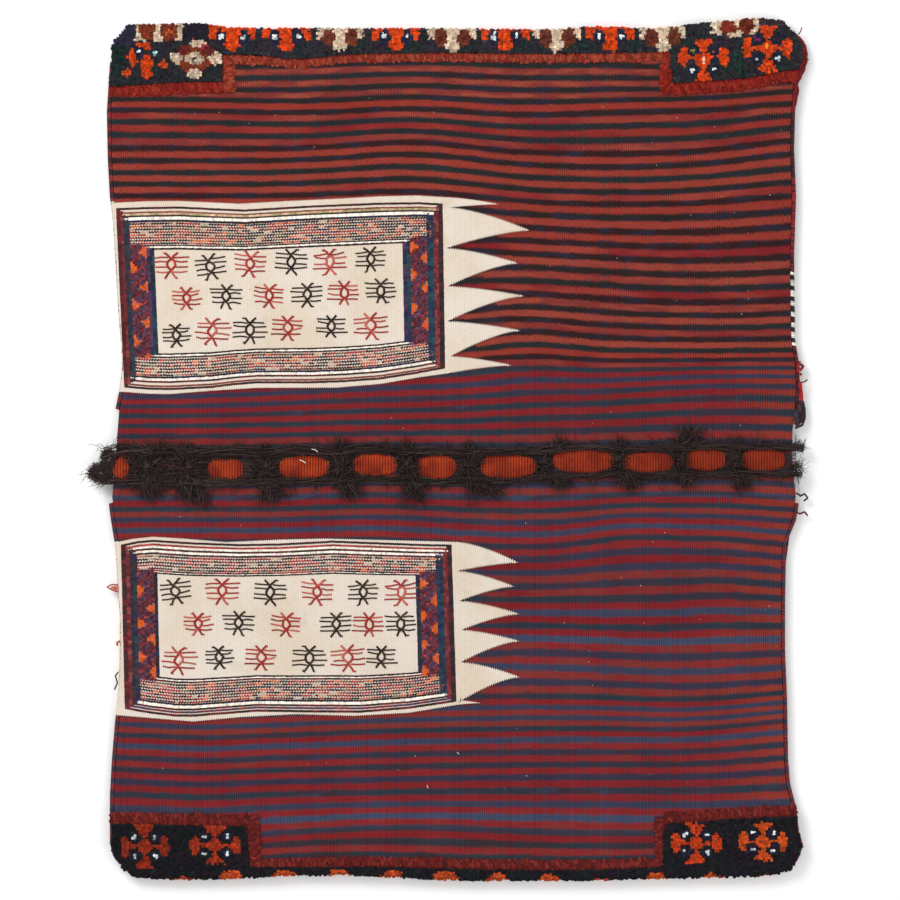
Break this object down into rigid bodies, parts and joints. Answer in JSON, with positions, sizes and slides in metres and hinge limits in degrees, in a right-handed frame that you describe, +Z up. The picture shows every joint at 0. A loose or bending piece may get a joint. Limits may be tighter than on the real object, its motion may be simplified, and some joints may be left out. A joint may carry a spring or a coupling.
{
  "type": "kilim saddle bag",
  "caption": "Pair of flat-woven wool bags joined by a bridge, lying flat and empty with the mouths underneath.",
  "frame": {"origin": "on the floor, below the middle of the whole bag", "axes": "+Y along the strip, from the near bag over the bridge to the far bag; +X across the cloth, to the right; +Z up, out of the bag's back"},
  "size_m": [0.9858, 1.213, 0.0324],
  "materials": {
    "striped_wool": "weft-faced wool flat weave in red and dark stripes",
    "cream_wool": "cream wool weft with wrapped coloured lines and figures",
    "knotted_pile": "short knotted wool pile",
    "red_wrapping": "thick wrapped wool rib",
    "orange_wool": "slit tapestry with upright ribs",
    "goat_hair": "coarse dark hair yarn",
    "overcast_wool": "overcast wool and goat-hair yarn"
  },
  "bodies": {
    "root": {"kilim_strip": "striped_wool", "cream_panel_upper": "cream_wool", "cream_panel_lower": "cream_wool", "pile_band_top": "knotted_pile", "pile_band_bottom": "knotted_pile", "wrapped_border_top": "red_wrapping", "wrapped_border_bottom": "red_wrapping", "orange_bridge_band": "orange_wool", "goat_hair_cord_upper": "goat_hair", "goat_hair_cord_lower": "goat_hair", "closure_loop_01": "goat_hair", "closure_loop_02": "goat_hair", "closure_loop_03": "goat_hair", "closure_loop_04": "goat_hair", "closure_loop_05": "goat_hair", "closure_loop_06": "goat_hair", "closure_loop_07": "goat_hair", "closure_loop_08": "goat_hair", "closure_loop_09": "goat_hair", "closure_loop_10": "goat_hair", "side_seam_upper_left": "overcast_wool", "side_seam_upper_right": "overcast_wool", "side_seam_lower_left": "overcast_wool", "side_seam_lower_right": "overcast_wool"}
  },
  "joints": []
}
